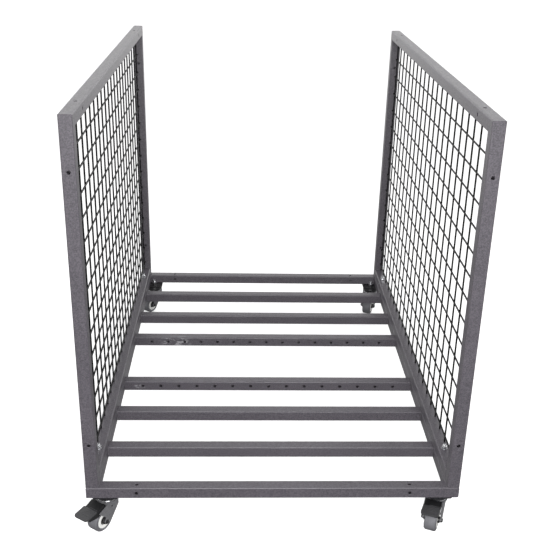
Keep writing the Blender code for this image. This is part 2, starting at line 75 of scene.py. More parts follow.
# Casters, as in the CAD model. Fork places are (along the trail, up).
TRAIL = 0.025
STEM_RADIUS = 0.004
STEM_HEX = 0.013
STEM_NUT = 0.0065
STEM_PITCH = 0.00125
STEM_HEAD_RADIUS = 0.007
STEM_HEAD = 0.0022
RACE_RADIUS = 0.0235
RACE_LIP = 0.0035
RACE_RING_RADIUS = 0.0009
FORK_INNER = 0.0172
FORK_SHEET = 0.0025
CROWN = 0.003
CROWN_FRONT = 0.0215
LEG_BACK = 0.011
LEG_WAIST = 0.012
LEG_HEEL_FROM_AXLE = Vector((-0.012, -0.0045))
LEG_NOSE_FROM_AXLE = Vector((0.0185, 0.029))
TONGUE_RADIUS = 0.005
AXLE_RADIUS = 0.0028
AXLE_HEAD_RADIUS = 0.0045
AXLE_HEAD = 0.0025
BRAKE_PIN_BORE = 0.0022
TREAD_WIDTH = 0.025
TREAD_ROUND = 0.004
HUB_RADIUS = 0.0172
HUB_RING = 0.0075
HUB_BOSS_RADIUS = 0.007
HUB_RECESS = 0.004
# Depth of the dark shield over the hub's recess floor: a bearing's shield, and also painted shade of the recess
BEARING_AND_SHADE_SHIELD = 0.001
PEDAL_RIBS = 5
PEDAL_RIB_PITCH = 0.0052
PEDAL_RIB = Vector((0.0014, 0.022, 0.0009))
PLATE_CORNER = 0.004

# An axle head's dome, as (share of its radius, share of its height)
AXLE_DOME = ((0, 1), (0.6, 1), (0.88, 0.72), (1, 0.3), (1, 0))

# How finely round things are made
FINE = 48
FINER = 64
FINEST = 96
CORNER_STEPS = 5
SHOULDER_STEPS = 8
TONGUE_STEPS = 20
RING_SIDES = 12
WIRE_SIDES = 14
HOLE_SIDES = 28

# Rounded edges, chamfers and how sharp an edge must be to get one or to stay crisp
HOLE_CHAMFER = 0.0004
DRILL_START = 0.002
PLATE_EDGE = 0.0004
HUB_EDGE = 0.0006
LEVER_EDGE = 0.0012
PEDAL_EDGE = 0.0008
RIB_EDGE = 0.0003
BEVEL_ANGLE = math.radians(40)
SHARP_ANGLE = math.radians(32)
LONGEST_SHARE = 0.45

# Threads and hex heads
THREAD_SIDES = 24
THREAD_STEPS = 5
THREAD_DEPTH = 0.0006
HEX_CHAMFER = math.radians(30)
HEX_FACE = 0.96

# Weld beads: the base's, those at a post's foot, and those in a panel's corners
BASE_BEAD = 0.0019
FOOT_BEAD = 0.0012
CORNER_BEAD = 0.0016
BEAD_STEP = 0.0007
BEAD_SIDES = 8
BEAD_RIPPLE = 0.0019
BEAD_RIPPLE_SHARE = 0.10
BEAD_UNEVEN = 0.05
BEAD_SWAY = 0.08
BEAD_END = 0.35
BEAD_FLATNESS = 0.8

CAMERA_PLACE = Vector((-0.0709, -1.9713, 1.1894))
CAMERA_PITCH = 0.4076
CAMERA_YAW = 0.0433
CAMERA_ROLL = -0.0256
CAMERA_LENS = 56.86
SENSOR_WIDTH = 36

# Light: the studio's glow by the height of the direction (-1 down, 1 up) as shares of the brightest, and the
# share of it in front of the trolley
GLOW = 1.9
GLOW_BY_HEIGHT = ((-1.0, 0.16), (-0.3, 0.20), (-0.05, 1.0), (0.28, 1.0), (0.45, 0.42), (1.0, 0.36))
FRONT_GLOW = 0.32
FRONT_TO_BACK = 0.6
OVERHEAD_LAMP = Vector((0.2, 0.3, 3.2))
OVERHEAD_LAMP_AIM = Vector((0, 0, 0))
OVERHEAD_LAMP_SIZE = 2.6
OVERHEAD_LAMP_POWER = 10
FRONT_LAMP = Vector((0.0, -2.3, 1.2))
FRONT_LAMP_AIM = Vector((0, 0, 0.4))
FRONT_LAMP_SIZE = 1.0
FRONT_LAMP_POWER = 52
FLOOR_REACH = 15
FLOOR_WHITE = (0.93, 0.93, 0.93)
FLOOR_ROUGHNESS = 0.8
FLOOR_SHINE = 0.55

BARS = ("crossbar_1", "crossbar_2", "perforated_bar_3", "perforated_bar_4", "crossbar_5", "crossbar_6")
CORNERS = ("front_left", "front_right", "rear_left", "rear_right")
BOLTS = ("left_front", "left_rear", "right_front", "right_rear")

ALONG = {
    "x": Matrix(((0, 0, 1), (1, 0, 0), (0, 1, 0))),
    "y": Matrix(((0, 1, 0), (0, 0, 1), (1, 0, 0))),
    "z": Matrix.Identity(3),
}

chance = random.Random(7)


# Materials

# Noise scales, in cycles per metre: the powder's grain and speckle, its waves and its slow changes of tone
GRAIN = 900
SPECKLE = 430
SMOOTHNESS = 300
WAVES = 160
TONE = 9
RUB_STREAKS = 170
COAT_SHEEN = 0.6
MESH_SHEEN = 0.15
RUB_COLOUR = (0.34, 0.33, 0.35)


def fill_ramp(node, stops):
    """Sets a colour ramp's stops to (position, colour)."""
    elements = node.color_ramp.elements
    while len(elements) < len(stops):
        elements.new(0.5)
    for element, (position, colour) in zip(elements, stops):
        element.position = position
        element.color = (*colour, 1)


class Shading:
    """One material's node tree, with a Principled BSDF and short ways to add what feeds it."""

    def __init__(self, name, colour, roughness, metallic=0.0):
        self.material = bpy.data.materials.new(name)
        self.material.use_nodes = True
        self.tree = self.material.node_tree
        self.shader = self.tree.nodes["Principled BSDF"]
        self.set("Base Color", (*colour, 1))
        self.set("Roughness", roughness)
        self.set("Metallic", metallic)
        self.place = self.tree.nodes.new("ShaderNodeTexCoord").outputs["Object"]

    def set(self, socket, value):
        self.shader.inputs[socket].default_value = value

    def link(self, output, socket):
        self.tree.links.new(output, socket)

    def noise(self, scale, detail=3.0, roughness=0.5, stretch=None):
        node = self.tree.nodes.new("ShaderNodeTexNoise")
        node.inputs["Scale"].default_value = scale
        node.inputs["Detail"].default_value = detail
        node.inputs["Roughness"].default_value = roughness
        place = self.place
        if stretch:
            mapping = self.tree.nodes.new("ShaderNodeMapping")
            mapping.inputs["Scale"].default_value = stretch
            self.link(place, mapping.inputs["Vector"])
            place = mapping.outputs["Vector"]
        self.link(place, node.inputs["Vector"])
        return node.outputs["Fac"]

    def near(self, centre, reach):
        """1 at a place in the object's own metres, falling to 0 at its reach along each axis."""
        mapping = self.tree.nodes.new("ShaderNodeMapping")
        mapping.vector_type = "TEXTURE"
        mapping.inputs["Location"].default_value = centre
        mapping.inputs["Scale"].default_value = reach
        self.link(self.place, mapping.inputs["Vector"])
        ball = self.tree.nodes.new("ShaderNodeTexGradient")
        ball.gradient_type = "SPHERICAL"
        self.link(mapping.outputs["Vector"], ball.inputs["Vector"])
        return ball.outputs["Fac"]

    def times(self, first, second):
        node = self.tree.nodes.new("ShaderNodeMath")
        node.operation = "MULTIPLY"
        self.link(first, node.inputs[0])
        self.link(second, node.inputs[1])
        return node.outputs["Value"]

    def ramp(self, source, stops):
        """A colour ramp whose stops are (position, colour)."""
        node = self.tree.nodes.new("ShaderNodeValToRGB")
        fill_ramp(node, stops)
        self.link(source, node.inputs["Fac"])
        return node.outputs["Color"]

    def span(self, source, low, high, to_low, to_high):
        node = self.tree.nodes.new("ShaderNodeMapRange")
        for socket, value in (("From Min", low), ("From Max", high), ("To Min", to_low), ("To Max", to_high)):
            node.inputs[socket].default_value = value
        self.link(source, node.inputs["Value"])
        return node.outputs["Result"]

    def mix(self, factor, first, second, blend="MIX"):
        node = self.tree.nodes.new("ShaderNodeMix")
        node.data_type = "RGBA"
        node.blend_type = blend
        sockets = [node.inputs[0], *(socket for socket in node.inputs if socket.type == "RGBA")]
        for socket, value in zip(sockets, (factor, first, second)):
            if isinstance(value, bpy.types.NodeSocket):
                self.link(value, socket)
            elif isinstance(value, tuple):
                socket.default_value = (*value, 1)
            else:
                socket.default_value = value
        return next(socket for socket in node.outputs if socket.type == "RGBA")

    def colour(self, source):
        self.link(source, self.shader.inputs["Base Color"])

    def roughness(self, source):
        self.link(source, self.shader.inputs["Roughness"])

    def bump(self, source, strength, distance, below=None):
        node = self.tree.nodes.new("ShaderNodeBump")
        node.inputs["Strength"].default_value = strength
        node.inputs["Distance"].default_value = distance
        self.link(source, node.inputs["Height"])
        if below:
            self.link(below, node.inputs["Normal"])
        self.link(node.outputs["Normal"], self.shader.inputs["Normal"])
        return node.outputs["Normal"]


def powder_coat(name, dark, light, roughness, sheen=COAT_SHEEN, rubs=()):
    """Textured powder coat: a fine grain and slow changes of tone. A rub is (place, reach) of a pale scuff."""
    made = Shading(name, light, roughness)
    grain = made.noise(GRAIN, 2)
    fine = made.ramp(made.noise(SPECKLE, 3, 0.65), ((0.35, dark), (0.65, light)))
    slow = made.noise(TONE, 4, 0.6)
    worn = made.ramp(slow, ((0.3, (0.9, 0.9, 0.91)), (0.7, (1.06, 1.05, 1.06))))
    colour = made.mix(1.0, fine, worn, "MULTIPLY")
    for place, reach in rubs:
        patch = made.span(made.noise(RUB_STREAKS, 4, 0.7, (0.35, 1, 1)), 0.50, 0.60, 0, 1)
        close = made.span(made.near(place, reach), 0.0, 0.5, 0, 1)
        colour = made.mix(made.times(close, patch), colour, RUB_COLOUR)
    made.colour(colour)
    made.roughness(made.span(made.noise(SMOOTHNESS, 3), 0.3, 0.7, roughness - 0.06, roughness + 0.08))
    wavy = made.bump(made.noise(WAVES, 2), 0.18, 0.0003)
    made.bump(grain, 0.3, 0.0002, wavy)
    made.set("Specular IOR Level", sheen)
    return made.material


def plated(name, colour, roughness):
    """Bright zinc plating: metal with faint cloudy patches and rubbed streaks."""
    made = Shading(name, colour, roughness, 1.0)
    cloud = made.noise(120, 4, 0.6)
    tint = tuple(channel * 0.72 for channel in colour)
    made.colour(made.ramp(cloud, ((0.3, tint), (0.65, colour))))
    made.roughness(made.span(made.noise(500, 3), 0.3, 0.7, roughness - 0.08, roughness + 0.12))
    made.bump(made.noise(700, 2), 0.12, 0.0001)
    return made.material


def moulded(name, dark, light, roughness, grain_scale, grain_depth):
    """Moulded plastic or rubber with a light spark-eroded grain."""
    made = Shading(name, light, roughness)
    made.colour(made.ramp(made.noise(60, 5, 0.6), ((0.3, dark), (0.7, light))))
    made.roughness(made.span(made.noise(240, 3), 0.3, 0.7, roughness - 0.06, roughness + 0.1))
    made.bump(made.noise(grain_scale, 2), 0.3, grain_depth)
    return made.material


FRAME_DARK = (0.058, 0.053, 0.062)
FRAME_LIGHT = (0.130, 0.120, 0.137)

# Pale rubs on the front faces of two bars, at distances from the bar's left end
RUB_REACH = Vector((0.036, 0.020, 0.018))
SMALL_RUB_REACH = Vector((0.016, 0.020, 0.008))


def bar_rubs(node, spots):
    """Rubs at distances along a bar from its left end, on its front face."""
    low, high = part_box(node)
    return [((low.x + along, low.y, (low.z + high.z) / 2), reach) for along, reach in spots]


FRAME_COAT = powder_coat("frame_coat_look", FRAME_DARK, FRAME_LIGHT, 0.4)
RUBBED_COATS = {
    node: powder_coat(f"{node}_look", FRAME_DARK, FRAME_LIGHT, 0.4, rubs=bar_rubs(node, spots))
    for node, spots in (
        ("perforated_bar_3", ((0.037, SMALL_RUB_REACH),)),
        ("perforated_bar_4", ((0.095, RUB_REACH), (0.118, RUB_REACH))),
    )
}
MESH_COAT = powder_coat("mesh_coat_look", (0.003, 0.003, 0.003), (0.006, 0.006, 0.007), 0.5, MESH_SHEEN)
WELD_COAT = powder_coat("weld_coat_look", (0.066, 0.062, 0.070), (0.115, 0.108, 0.12), 0.42)
FORK_COAT = powder_coat("fork_coat_look", (0.11, 0.11, 0.117), (0.17, 0.17, 0.178), 0.36)
# Dark steel for plates, cups, axles and the bearings' shields; over the hubs' recesses it is also painted
# shade.
RACE_STEEL = powder_coat("race_steel_look", (0.012, 0.012, 0.013), (0.022, 0.021, 0.024), 0.3)
PEDAL_COAT = powder_coat("pedal_coat_look", (0.035, 0.035, 0.037), (0.055, 0.055, 0.058), 0.45)
ZINC = plated("zinc_look", (0.80, 0.81, 0.83), 0.24)
BRAKE_PLASTIC = moulded("brake_plastic_look", (0.006, 0.006, 0.007), (0.012, 0.012, 0.013), 0.42, 900, 0.0002)
HUB_PLASTIC = moulded("hub_plastic_look", (0.80, 0.80, 0.78), (0.90, 0.90, 0.88), 0.3, 700, 0.0001)
TYRE_RUBBER = moulded("tyre_rubber_look", (0.11, 0.11, 0.12), (0.17, 0.17, 0.185), 0.6, 1100, 0.0002)


# Mesh helpers


def finish_mesh(bm, name):
    bmesh.ops.recalc_face_normals(bm, faces=bm.faces)
    mesh = bpy.data.meshes.new(name)
    bm.to_mesh(mesh)
    bm.free()
    return mesh


def helper(name, mesh, matrix=None):
    """An object that only exists while another is being cut or joined."""
    item = bpy.data.objects.new(name, mesh)
    if matrix:
        item.matrix_world = matrix
    bpy.context.scene.collection.objects.link(item)
    return item


def worked(name, mesh, steps):
    """The mesh after Booleans and bevels. A step is (operation, mesh) or ("BEVEL", width, segments)."""
    item = helper(name, mesh)
    others = []
    for index, step in enumerate(steps):
        if step[0] == "BEVEL":
            modifier = item.modifiers.new(f"step_{index}", "BEVEL")
            modifier.width = step[1]
            modifier.segments = step[2]
            modifier.limit_method = "ANGLE"
            modifier.angle_limit = BEVEL_ANGLE
            modifier.harden_normals = False
            continue
        other = helper(f"{name}_step_{index}", step[1])
        others.append(other)
        modifier = item.modifiers.new(f"step_{index}", "BOOLEAN")
        modifier.operation = step[0]
        modifier.solver = "EXACT"
        modifier.object = other
    graph = bpy.context.evaluated_depsgraph_get()
    made = bpy.data.meshes.new_from_object(item.evaluated_get(graph))
    made.name = name
    for gone in [item, *others]:
        bpy.data.objects.remove(gone)
    return made


def joined(name, meshes):
    """Several meshes as one, each kept as its own shell."""
    bm = bmesh.new()
    for mesh in meshes:
        bm.from_mesh(mesh)
    mesh = bpy.data.meshes.new(name)
    bm.to_mesh(mesh)
    bm.free()
    return mesh


def piece(name, mesh, material, body, nodes=(), matrix=None):
    """A visible piece riding on a CAD body, standing for the CAD nodes named."""
    mesh.materials.clear()
    mesh.materials.append(material)
    mesh.shade_smooth()
    mesh.set_sharp_from_angle(angle=SHARP_ANGLE)
    item = bpy.data.objects.new(name, mesh)
    bpy.context.scene.collection.objects.link(item)
    if matrix:
        item.matrix_world = matrix
    normals = item.modifiers.new("flat_faces", "WEIGHTED_NORMAL")
    normals.keep_sharp = True
    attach(item, body)
    if nodes:
        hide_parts(*nodes)
    return item


def arc(centre, radius, start, end, steps):
    angles = (start + (end - start) * step / steps for step in range(steps + 1))
    return [Vector(centre) + radius * Vector((math.cos(angle), math.sin(angle))) for angle in angles]


def rounded_square(half, radius, steps):
    points = []
    for corner in range(4):
        start = corner * math.pi / 2
        centre = Matrix.Rotation(start, 2) @ Vector((half - radius, half - radius))
        points += arc(centre, radius, start, start + math.pi / 2, steps)
    return points


def cylinder(radius, length, sides=FINE, centre=(0, 0, 0), axis="z", turn=0.0):
    bm = bmesh.new()
    place = Matrix.Translation(centre) @ ALONG[axis].to_4x4() @ Matrix.Rotation(turn, 4, "Z")
    bmesh.ops.create_cone(
        bm, cap_ends=True, segments=sides, radius1=radius, radius2=radius, depth=length, matrix=place
    )
    return finish_mesh(bm, "cylinder")


def block(low, high):
    bm = bmesh.new()
    low, high = Vector(low), Vector(high)
    bmesh.ops.create_cube(bm, size=1)
    bmesh.ops.scale(bm, vec=high - low, verts=bm.verts)
    bmesh.ops.translate(bm, vec=(low + high) / 2, verts=bm.verts)
    return finish_mesh(bm, "block")


def prism(outline, low, high):
    """A flat outline in X and Y, extruded from low to high."""
    bm = bmesh.new()
    bottom = [bm.verts.new((x, y, low)) for x, y in outline]
    top = [bm.verts.new((x, y, high)) for x, y in outline]
    bm.faces.new(bottom)
    bm.faces.new(top)
    count = len(outline)
    for index in range(count):
        after = (index + 1) % count
        bm.faces.new((bottom[index], bottom[after], top[after], top[index]))
    return finish_mesh(bm, "prism")


def turned(profile, sides=FINE):
    """A solid turned about Z from (radius, height) points, closed on itself where it stays off the axis."""
    bm = bmesh.new()
    rings = []
    for radius, height in profile:
        if radius < 1e-7:
            rings.append([bm.verts.new((0, 0, height))])
            continue
        angles = (2 * math.pi * side / sides for side in range(sides))
        rings.append([bm.verts.new((radius * math.cos(a), radius * math.sin(a), height)) for a in angles])
    on_axis = len(rings[0]) == 1 or len(rings[-1]) == 1
    pairs = list(zip(rings, rings[1:]))
    if not on_axis:
        pairs.append((rings[-1], rings[0]))
    for first, second in pairs:
        for side in range(sides):
            after = (side + 1) % sides
            corners = []
            for vertex in (
                first[side % len(first)],
                first[after % len(first)],
                second[after % len(second)],
                second[side % len(second)],
            ):
                if vertex not in corners:
                    corners.append(vertex)
            if len(corners) > 2:
                bm.faces.new(corners)
    return finish_mesh(bm, "turned")


def skin(bm, rings):
    """Faces between each ring of corners and the next, and over both ends."""
    count = len(rings[0])
    for first, second in zip(rings, rings[1:]):
        for side in range(count):
            after = (side + 1) % count
            bm.faces.new((first[side], first[after], second[after], second[side]))
    bm.faces.new(rings[0])
    bm.faces.new(rings[-1])


def softened(profile, radius, steps=3):
    """A closed profile with each corner rounded."""
    points = []
    count = len(profile)
    for index in range(count):
        here = Vector(profile[index])
        before = Vector(profile[index - 1]) - here
        after = Vector(profile[(index + 1) % count]) - here
        reach = min(radius, before.length * LONGEST_SHARE, after.length * LONGEST_SHARE)
        start = here + before.normalized() * reach
        end = here + after.normalized() * reach
        for step in range(steps + 1):
            t = step / steps
            points.append(start * (1 - t) ** 2 + here * 2 * t * (1 - t) + end * t**2)
    return points


# Frame tubes


def hole_cutter(point, direction, radius):
    """A drill that enters at a point on a face and goes inwards along a direction, with a small chamfer."""
    depth = 2 * WALL
    profile = [
        (0, DRILL_START),
        (radius + HOLE_CHAMFER + DRILL_START, DRILL_START),
        (radius, -HOLE_CHAMFER),
        (radius, -depth),
        (0, -depth),
    ]
    mesh = turned(profile, HOLE_SIDES)
    turn = Vector((0, 0, -1)).rotation_difference(Vector(direction)).to_matrix().to_4x4()
    mesh.transform(Matrix.Translation(point) @ turn)
    return mesh


def square_tube(node, axis, holes=(), short_side=None, mitred=(True, True)):
    """A round-edged tube in a CAD tube's place, with holes given as (point, inwards, radius).

    A mitred end is cut back towards its short side, and the long side runs to the full box.
    """
    low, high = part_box(node)
    centre = (low + high) / 2
    length = max(high - low) + 2 * GAP
    outer = rounded_square(TUBE / 2, CORNER_RADIUS, CORNER_STEPS)
    inner = rounded_square(TUBE / 2 - WALL, CORNER_RADIUS / 2, CORNER_STEPS)
    side = ALONG[axis].transposed() @ Vector(short_side) if short_side else None
    bm = bmesh.new()
    rings = []
    for end in (-1, 1):
        for outline in (outer, inner):
            ring = []
            for x, y in outline:
                z = end * length / 2
                if side and mitred[0 if end < 0 else 1]:
                    z -= end * (x * side.x + y * side.y + TUBE / 2)
                ring.append(bm.verts.new((x, y, z)))
            rings.append(ring)
    count = len(outer)
    for first, second in ((0, 2), (1, 3), (0, 1), (2, 3)):
        for index in range(count):
            after = (index + 1) % count
            a, b = rings[first], rings[second]
            bm.faces.new((a[index], a[after], b[after], b[index]))
    mesh = finish_mesh(bm, node)
    mesh.transform(Matrix.Translation(centre) @ ALONG[axis].to_4x4())
    cuts = [hole_cutter(point, inwards, radius) for point, inwards, radius in holes]
    if cuts:
        mesh = worked(node, mesh, [("DIFFERENCE", joined(f"{node}_cuts", cuts))])
    coat = RUBBED_COATS.get(node, FRAME_COAT)
    return piece(f"tube_{node}", mesh, coat, "frame", [node])


def base_frame():
    for name, end in (("front", -1), ("rear", 1)):
        node = f"base_rail_{name}"
        low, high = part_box(node)
        middle = (low + high) / 2
        reach = width / 2 - FIXING_HOLE_INSET
        holes = [((x, middle.y, high.z), (0, 0, -1), FIXING_HOLE_RADIUS) for x in (-reach, reach)]
        holes += [((x, low.y, middle.z), (0, 1, 0), FIXING_HOLE_RADIUS) for x in (-reach, reach)]
        square_tube(node, "x", holes, (0, -end, 0))
    for name, side in (("left", -1), ("right", 1)):
        square_tube(f"base_rail_{name}", "y", (), (-side, 0, 0))
    for name in BARS:
        holes = []
        if name.startswith("perforated"):
            low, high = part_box(name)
            first = PERFORATION_INSET - width / 2
            pitch = -2 * first / (PERFORATIONS - 1)
            height = (low.z + high.z) / 2
            holes = [
                ((first + pitch * index, low.y, height), (0, 1, 0), PERFORATION_RADIUS)
                for index in range(PERFORATIONS)
            ]
        square_tube(name, "x", holes)


def side_panel(name, side):
    for end_name, end in (("front", -1), ("rear", 1)):
        node = f"panel_post_{name}_{end_name}"
        low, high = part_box(node)
        x = (low.x + high.x) / 2
        heights = (base_top + FIXING_HOLE_INSET, high.z + GAP - FIXING_HOLE_INSET)
        holes = [((x, low.y, height), (0, 1, 0), FIXING_HOLE_RADIUS) for height in heights]
        square_tube(node, "z", holes, (0, -end, 0), (False, True))
    node = f"panel_top_rail_{name}"
    low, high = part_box(node)
    middle = (low + high) / 2
    reach = depth / 2 - FIXING_HOLE_INSET
    inner_x = low.x if side > 0 else high.x
    holes = [((middle.x, y, high.z), (0, 0, -1), FIXING_HOLE_RADIUS) for y in (-reach, reach)]
    holes += [((inner_x, y, middle.z), (side, 0, 0), FIXING_HOLE_RADIUS) for y in (-reach, reach)]
    square_tube(node, "y", holes, (0, 0, -1))
    square_tube(f"panel_bottom_rail_{name}", "y")
    wire_mesh(name, side)


def wire(start, end):
    """One straight wire."""
    start, end = Vector(start), Vector(end)
    run = end - start
    bm = bmesh.new()
    turn = run.to_track_quat("Z", "Y").to_matrix().to_4x4()
    place = Matrix.Translation((start + end) / 2) @ turn
    bmesh.ops.create_cone(
        bm, cap_ends=True, segments=WIRE_SIDES, radius1=WIRE_RADIUS, radius2=WIRE_RADIUS, depth=run.length,
        matrix=place,
    )
    return finish_mesh(bm, "wire")


def wire_mesh(name, side):
    """Welded mesh: upright wires outside, level wires pressed into them from inside, all ends at the frame."""
    node = f"panel_mesh_{name}"
    low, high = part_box(node)
    x = (low.x + high.x) / 2
    apart = WIRE_RADIUS - WIRE_PRESS / 2
    outer_x, inner_x = x + side * apart, x - side * apart
    first_y = low.y - GAP + EDGE_WIRE_INSET
    pitch = -2 * first_y / (VERTICAL_WIRES - 1)
    wires = []
    for index in range(VERTICAL_WIRES):
        y = first_y + pitch * index
        wires.append(wire((outer_x, y, low.z - GAP), (outer_x, y, high.z + GAP)))
    for index in range(HORIZONTAL_WIRES):
        z = high.z + GAP - EDGE_WIRE_INSET - HORIZONTAL_PITCH * index
        wires.append(wire((inner_x, low.y - GAP, z), (inner_x, high.y + GAP, z)))
    piece(f"wires_{name}", joined(node, wires), MESH_COAT, "frame", [node])


# Weld beads


def bead(start, end, towards, radius):
    """A rippled fillet weld from start to end, its round back facing towards."""
    start, end, towards = Vector(start), Vector(end), Vector(towards).normalized()
    run = (end - start).normalized()
    across = run.cross(towards).normalized()
    length = (end - start).length
    count = max(4, int(length / BEAD_STEP))
    bm = bmesh.new()
    rings = []
    phase = chance.uniform(0, 2 * math.pi)
    for index in range(count + 1):
        along = length * index / count
        taper = min(1.0, BEAD_END + 3 * min(along, length - along) / radius / 4)
        wave = BEAD_RIPPLE_SHARE * math.sin(along / BEAD_RIPPLE * 2 * math.pi + phase)
        size = radius * taper * (1 + wave + chance.uniform(-BEAD_UNEVEN, BEAD_UNEVEN))
        centre = start + run * along + across * radius * chance.uniform(-BEAD_SWAY, BEAD_SWAY)
        ring = []
        for side in range(BEAD_SIDES):
            angle = 2 * math.pi * side / BEAD_SIDES
            out = across * math.cos(angle) + towards * math.sin(angle) * BEAD_FLATNESS
            ring.append(bm.verts.new(centre + out * size))
        rings.append(ring)
    skin(bm, rings)
    return finish_mesh(bm, "bead")


def base_welds():
    beads = []
    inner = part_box("base_rail_right")[0].x
    for name in BARS:
        low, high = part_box(name)
        for side in (-1, 1):
            x = side * inner
            for y, out in ((low.y, -1), (high.y, 1)):
                start, stop = (x, y, low.z + BASE_BEAD), (x, y, high.z - 1.5 * BASE_BEAD)
                beads.append(bead(start, stop, (-side, out, 0), BASE_BEAD))
    piece("weld_beads_base", joined("weld_beads_base", beads), WELD_COAT, "frame")


def panel_welds(name, side):
    beads = []
    for end_name, end in (("front", -1), ("rear", 1)):
        low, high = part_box(f"panel_post_{name}_{end_name}")
        inner_y = high.y if end < 0 else low.y
        inner_x = low.x if side > 0 else high.x
        outer_x = high.x if side > 0 else low.x
        # The foot of the post on the base rail, and the inside corners of the panel's own frame.
        for x, out in ((inner_x, -side), (outer_x, side)):
            start, stop = low.y + 3 * FOOT_BEAD, high.y - 3 * FOOT_BEAD
            beads.append(bead((x, start, low.z), (x, stop, low.z), (out, 0, 0), FOOT_BEAD))
        left, right = low.x + 2 * CORNER_BEAD, high.x - 2 * CORNER_BEAD
        for height, out in ((low.z + TUBE, 1), (high.z + GAP - TUBE, -1)):
            beads.append(bead((left, inner_y, height), (right, inner_y, height), (0, -end, out), CORNER_BEAD))
    piece(f"weld_beads_panel_{name}", joined("beads", beads), WELD_COAT, "frame")


# Fasteners


def hexagon(across_flats, low, high, turn=0.0):
    """A hex head or nut, its corners cut back by the usual cone at both ends."""
    corner = across_flats / math.sqrt(3)
    rim = across_flats / 2 * HEX_FACE
    past = corner + GAP
    drop = (past - rim) * math.tan(HEX_CHAMFER)
    body = cylinder(corner, high - low, 6, (0, 0, (low + high) / 2), "z", turn)
    cone = turned([(0, high), (rim, high), (past, high - drop), (past, low + drop), (rim, low), (0, low)])
    return worked("hexagon", body, [("INTERSECT", cone)])


def thread(low, high, radius, pitch):
    """A threaded rod: rings whose radius follows the helix, with a chamfered top."""
    bm = bmesh.new()
    steps = int((high - low) / (pitch / THREAD_STEPS))
    rings = []
    for index in range(steps + 1):
        height = low + (high - low) * index / steps
        ring = []
        for side in range(THREAD_SIDES):
            angle = 2 * math.pi * side / THREAD_SIDES
            phase = ((height - low) / pitch - side / THREAD_SIDES) % 1.0
            cut = THREAD_DEPTH * abs(2 * phase - 1)
            size = min(radius - cut, radius - 1.5 * THREAD_DEPTH + high - height)
            ring.append(bm.verts.new((size * math.cos(angle), size * math.sin(angle), height)))
        rings.append(ring)
    skin(bm, rings)
    return finish_mesh(bm, "thread")


def panel_bolt(name):
    """The bolt up through both rails, with the nut and washer on the panel's rail."""
    node = f"panel_bolt_{name}"
    low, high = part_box(node)
    middle = (low + high) / 2
    place = Matrix.Translation((middle.x, middle.y, 0))
    head = hexagon(BOLT_HEX, low.z, low.z + BOLT_HEAD, chance.uniform(0, math.pi))
    shank = thread(low.z + BOLT_HEAD / 2, high.z, BOLT_RADIUS, BOLT_PITCH)
    piece(node.replace("panel_", ""), joined("bolt", [head, shank]), ZINC, "frame", [node], place)
    node = f"panel_nut_{name}"
    low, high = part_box(node)
    bore = BOLT_RADIUS + GAP / 3
    ring = [(bore, WASHER), (WASHER_RADIUS, WASHER), (WASHER_RADIUS, 0), (bore, 0)]
    washer = turned(softened(ring, WASHER / 5))
    washer.transform(Matrix.Translation((0, 0, low.z)))
    nut = hexagon(BOLT_HEX, high.z - BOLT_NUT, high.z, chance.uniform(0, math.pi))
    piece(node.replace("panel_", ""), joined("nut", [washer, nut]), ZINC, "frame", [node], place)


# Casters


class Caster:
    """Where one caster stands: its swivel axis, heading and the matrix from its own frame to the trolley's."""

    def __init__(self, name):
        self.name = name
        joint = joints[f"spin_{name}"]
        swivel = joints[f"swivel_{name}"]
        self.kingpin = Vector(swivel["pos_m"])
        self.axle = Vector(joint["pos_m"])
        trail = self.axle - self.kingpin
        self.heading = math.atan2(trail.y, trail.x)
        self.matrix = Matrix.Translation((self.kingpin.x, self.kingpin.y, 0)) @ Matrix.Rotation(
            self.heading, 4, "Z"
        )
        self.fork = f"fork_{name}"
        self.wheel = f"wheel_{name}"
        self.brake = f"brake_{name}"
        self.radius = self.axle.z
        self.axle_turn = Matrix.Translation((TRAIL, 0, self.radius)) @ Matrix.Rotation(-math.pi / 2, 4, "X")


def corner_plate(caster):
    node = f"corner_plate_{caster.name}"
    low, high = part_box(node)
    outline = rounded_square((high.x - low.x) / 2, PLATE_CORNER, CORNER_STEPS)
    middle = (low + high) / 2
    mesh = prism(outline, low.z, high.z)
    mesh.transform(Matrix.Translation((middle.x, middle.y, 0)))
    hole = cylinder(STEM_RADIUS + GAP, TUBE, FINE, (caster.kingpin.x, caster.kingpin.y, middle.z))
    mesh = worked(node, mesh, [("DIFFERENCE", hole), ("BEVEL", PLATE_EDGE, 2)])
    piece(f"plate_{caster.name}", mesh, RACE_STEEL, "frame", [node])


def stem(caster):
    node = f"caster_stem_{caster.name}"
    low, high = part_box(node)
    nut_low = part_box(f"corner_plate_{caster.name}")[1].z + GAP
    head_top = low.z + STEM_HEAD
    rod = thread(head_top, high.z, STEM_RADIUS, STEM_PITCH)
    nut = hexagon(STEM_HEX, nut_low, nut_low + STEM_NUT, -caster.heading)
    disc = [(0, head_top), (STEM_HEAD_RADIUS, head_top), (STEM_HEAD_RADIUS, low.z), (0, low.z)]
    head = turned(softened(disc, STEM_HEAD / 3))
    piece(f"stem_{caster.name}", joined(node, [rod, nut, head]), ZINC, "frame", [node], caster.matrix)


def ring(radius, height, thickness):
    """A thin round ring about the swivel axis."""
    section = arc((radius, height), thickness, 0, 2 * math.pi, RING_SIDES)[:-1]
    return turned(section, FINER)


